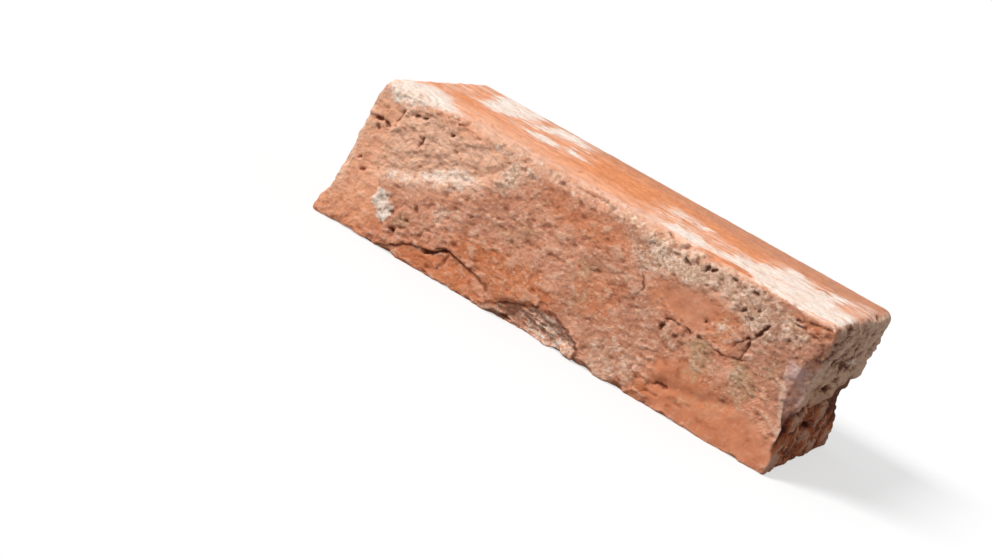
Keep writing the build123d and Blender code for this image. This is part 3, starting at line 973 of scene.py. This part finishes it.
    def hollowed(self, colour):
        """Painted highlights on what stands out, painted shade in the hollows, and painted shade with dirt in
        the cracks and pits.
        """
        crest = self.product(self.product("crest", 0.4), self.rough)
        colour = self.mix(crest, colour, self.tones.dust)
        hollow = self.product("hollow", self.span("torn", 0, 1, 0.6, 0.9))
        colour = self.mix(hollow, colour, self.mix("torn", HOLLOW_SHADE, TORN_SHADE), "MULTIPLY")
        return self.mix(self.product("grime", 0.9), colour, CRACK_SHADE, "MULTIPLY")

    def relief(self):
        """Fine grit, and a low mound on each stray grain."""
        grit = self.bump(self.product(self.noise(1.5, 5, 0.7), self.rough), 1.2)
        return self.bump(self.product(self.span(self.gap, 0, 0.7, 1, 0), self.rough), 0.12, below=grit)

    def finished(self):
        """The whole material, with the colours laid on in the order in which the brick got them, and the
        painted highlights and shade laid on last.
        """
        colour = self.mix("torn", self.bare(), self.torn())
        colour = self.crusted(self.washed(colour))
        shader = self.node("ShaderNodeBsdfPrincipled", sockets={
            "Base Color": self.hollowed(self.speckled(colour)),
            "Roughness": self.span(self.mottle, 0.3, 0.7, 0.8, 0.97),
            "Normal": self.relief(),
            "Specular IOR Level": 0.3,
        })
        self.node("ShaderNodeOutputMaterial", sockets={"Surface": shader.outputs["BSDF"]})
        return self.owner


def tint(code):
    """Linear colour of a six-digit screen colour."""
    parts = [int(code[place:place + 2], 16) / 255 for place in (0, 2, 4)]
    return tuple(part / 12.92 if part <= 0.04045 else ((part + 0.055) / 1.055) ** 2.4 for part in parts)


def tone(name, description, code):
    """Colour that a user can change."""
    kind = {"subtype": "COLOR", "size": 3, "min": 0, "max": 1}
    return FloatVectorProperty(name=name, description=description, default=tint(code), **kind)


class BrickSettings(bpy.types.PropertyGroup):
    """Sizes and colours of the brick."""

    cell: FloatProperty(
        name="Cell",
        description="Size of the cells that the brick is carved in",
        default=0.0005,
        unit="LENGTH",
        subtype="DISTANCE",
    )
    proud: FloatProperty(
        name="Proud",
        description="How far crumbs may stand out of the CAD box",
        default=0.0004,
        unit="LENGTH",
        subtype="DISTANCE",
    )
    triangles: IntProperty(
        name="Triangles", description="Most triangles that the carved brick keeps", default=196000
    )
    chips: IntProperty(name="Chips", description="How many small chips the arrises lost", default=200)
    seed: IntProperty(name="Seed", description="Start of the random draws that place the chips", default=7)
    clay_bright: tone("Bright Clay", "Light orange of the clay", "F0A377")
    clay_deep: tone("Deep Clay", "Redder orange of the clay", "DB8A64")
    clay_warm: tone("Warm Clay", "Strong orange where the skin is thin", "D17B4D")
    clay_pale: tone("Pale Clay", "Peach tone of the clay that saw most weather", "FAB792")
    clay_dull: tone("Dull Clay", "Browner tone of the damaged stretcher", "BD8469")
    clay_tan: tone("Tan Clay", "Browner tone of the upper bed", "C68B6F")
    bed_bright: tone("Bright Bed", "Light orange of the upper bed", "F29C68")
    bed_deep: tone("Deep Bed", "Redder orange of the upper bed", "DF8856")
    lilac: tone("Lilac Dust", "Dust on the bevel beside the broken header", "D3AFA9")
    wash: tone("Lime Wash", "Thin wash of lime on the upper bed", "F7D6C4")
    smear: tone("Smear", "Dull smears of old mortar", "B08865")
    smear_pale: tone("Pale Smear", "Light crumbs of the dull smears", "D2AB87")
    skin_pink: tone("Pink Skin", "Light tone of the worn skin", "E4A283")
    skin_brown: tone("Brown Skin", "Dark tone of the worn skin", "C98767")
    # The dust colour is also that of the painted highlights on the crests and arrises
    dust: tone("Dust", "Pale dust of clay and lime", "F6D0B6")
    mortar_pale: tone("Pale Mortar", "Light grains of the old mortar", "FCDDC6")
    mortar_dark: tone("Dark Mortar", "Dark grains of the old mortar", "CFA88B")
    lime_white: tone("White Lime", "Clean lime", "FBEDE1")
    lime_warm: tone("Warm Lime", "Lime with clay showing through", "F8DDCB")
    lime_cream: tone("Cream Lime", "Lime and sand on the damaged stretcher", "FAE5D2")
    torn_red: tone("Red Torn Clay", "Red clay of the broken header", "C86E3E")
    torn_dark: tone("Dark Torn Clay", "Dark clay of the broken header", "8E4A28")
    dirt: tone("Dirt", "Pale tan dirt on the broken header", "E9BD97")
    ledge: tone("Ledge", "Rubbed ledges of the broken header", "F2CBA8")


class StageSettings(bpy.types.PropertyGroup):
    """Camera and light."""

    lens: FloatProperty(
        name="Lens", description="Focal length on a 36 mm wide sensor", default=90.73, unit="CAMERA"
    )
    camera_place: FloatVectorProperty(
        name="Camera Place",
        description="Where the camera stands",
        default=(0.2716, -0.9915, 0.2329),
        subtype="TRANSLATION",
    )
    camera_turn: FloatProperty(
        name="Turn", description="Camera's turn about the upright", default=radians(17.42), subtype="ANGLE"
    )
    camera_tilt: FloatProperty(
        name="Tilt", description="Camera's tilt below the level", default=radians(12.53), subtype="ANGLE"
    )
    camera_roll: FloatProperty(
        name="Roll", description="Camera's roll about its view", default=radians(26.54), subtype="ANGLE"
    )
    key_strength: FloatProperty(name="Key Light", description="Strength of the main light", default=3)
    fill_strength: FloatProperty(
        name="Fill Light", description="Strength of the light from all round", default=0.54
    )


class BRICK_OT_model(bpy.types.Operator):
    """Carve and weather the brick around its CAD solid"""

    bl_idname = "brick.model"
    bl_label = "Model Brick"

    def execute(self, context):
        settings = context.scene.brick_settings
        piece = joined_copy(NODE, "brick")
        carve(piece, settings)
        piece.data.shade_smooth()
        piece.data.materials.clear()
        piece.data.materials.append(FiredClay(settings).finished())
        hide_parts(NODE)
        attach(piece, "root")
        return {"FINISHED"}


# Half the floor's side in metres, the grey that it sends back, and how much it glows for the camera
FLOOR_REACH = 12
FLOOR_GREY = 0.4
FLOOR_GLOW = 0.59
# Width of the camera's sensor in millimetres, and how far the camera sees in metres
SENSOR_WIDTH = 36
VIEW_LIMIT = 100
# How wide the main light looks, and the side that it comes from
KEY_SOFTNESS = radians(22)
KEY_SIDE = Vector((-0.52, -0.55, 0.65))


def studio_floor():
    """Wide pale floor, white to the camera and to mirrors, and darker to the light that it sends back."""
    shape = bmesh.new()
    bmesh.ops.create_grid(shape, x_segments=1, y_segments=1, size=FLOOR_REACH)
    floor = new_object("studio_floor", shape)
    paint = Recipe(bpy.data.materials.new("studio_floor"))
    rays = paint.node("ShaderNodeLightPath").outputs
    seen = paint.math("MAXIMUM", rays["Is Camera Ray"], rays["Is Glossy Ray"])
    glow = paint.node("ShaderNodeEmission", sockets={"Strength": seen, "Color": (*[FLOOR_GLOW] * 3, 1)})
    matt = paint.node("ShaderNodeBsdfDiffuse", sockets={"Color": (*[FLOOR_GREY] * 3, 1)})
    both = paint.node("ShaderNodeAddShader", sockets={0: matt.outputs[0], 1: glow.outputs[0]})
    paint.node("ShaderNodeOutputMaterial", sockets={"Surface": both.outputs[0]})
    floor.data.materials.append(paint.owner)


def studio_world(settings):
    """Even light from all round, white where the camera looks past the floor."""
    sky = Recipe(bpy.data.worlds.new("studio"))
    seen = sky.node("ShaderNodeLightPath").outputs["Is Camera Ray"]
    strength = sky.node("ShaderNodeMix", sockets={0: seen, 2: settings.fill_strength, 3: 1})
    light = sky.node("ShaderNodeBackground", sockets={"Strength": strength.outputs[0]})
    sky.node("ShaderNodeOutputWorld", sockets={"Surface": light.outputs[0]})
    bpy.context.scene.world = sky.owner


class BRICK_OT_stage(bpy.types.Operator):
    """Set the floor, the lights and the camera"""

    bl_idname = "brick.stage"
    bl_label = "Set Stage"

    def execute(self, context):
        scene = context.scene
        settings = scene.stage_settings
        studio_floor()
        studio_world(settings)
        lamp = bpy.data.lights.new("key", "SUN")
        lamp.energy = settings.key_strength
        lamp.angle = KEY_SOFTNESS
        key = bpy.data.objects.new("key", lamp)
        key.rotation_euler = KEY_SIDE.to_track_quat("Z", "Y").to_euler()
        scene.collection.objects.link(key)
        data = bpy.data.cameras.new("camera")
        data.lens = settings.lens
        data.sensor_width = SENSOR_WIDTH
        data.clip_end = VIEW_LIMIT
        camera = bpy.data.objects.new("camera", data)
        turn = Matrix.Rotation(settings.camera_turn, 4, "Z")
        tilt = Matrix.Rotation(radians(90) - settings.camera_tilt, 4, "X")
        roll = Matrix.Rotation(settings.camera_roll, 4, "Z")
        camera.matrix_world = Matrix.Translation(settings.camera_place) @ turn @ tilt @ roll
        scene.collection.objects.link(camera)
        scene.camera = camera
        scene.view_settings.view_transform = "Standard"
        return {"FINISHED"}


class BRICK_PT_panel(bpy.types.Panel):
    """Lists the brick's sizes and colours and what builds it"""

    bl_label = "Clay Brick"
    bl_idname = "BRICK_PT_panel"
    bl_space_type = "VIEW_3D"
    bl_region_type = "UI"
    bl_category = "Brick"

    def draw(self, context):
        for group, operator in (("brick_settings", "brick.model"), ("stage_settings", "brick.stage")):
            settings = getattr(context.scene, group)
            box = self.layout.box()
            for name in settings.__annotations__:
                box.prop(settings, name)
            box.operator(operator)


CLASSES = (BrickSettings, StageSettings, BRICK_OT_model, BRICK_OT_stage, BRICK_PT_panel)


def register():
    for item in CLASSES:
        bpy.utils.register_class(item)
    bpy.types.Scene.brick_settings = PointerProperty(type=BrickSettings)
    bpy.types.Scene.stage_settings = PointerProperty(type=StageSettings)


def unregister():
    del bpy.types.Scene.stage_settings
    del bpy.types.Scene.brick_settings
    for item in reversed(CLASSES):
        bpy.utils.unregister_class(item)


def main():
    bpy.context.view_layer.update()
    register()
    bpy.ops.brick.model()
    bpy.ops.brick.stage()


if __name__ == "__main__":
    main()
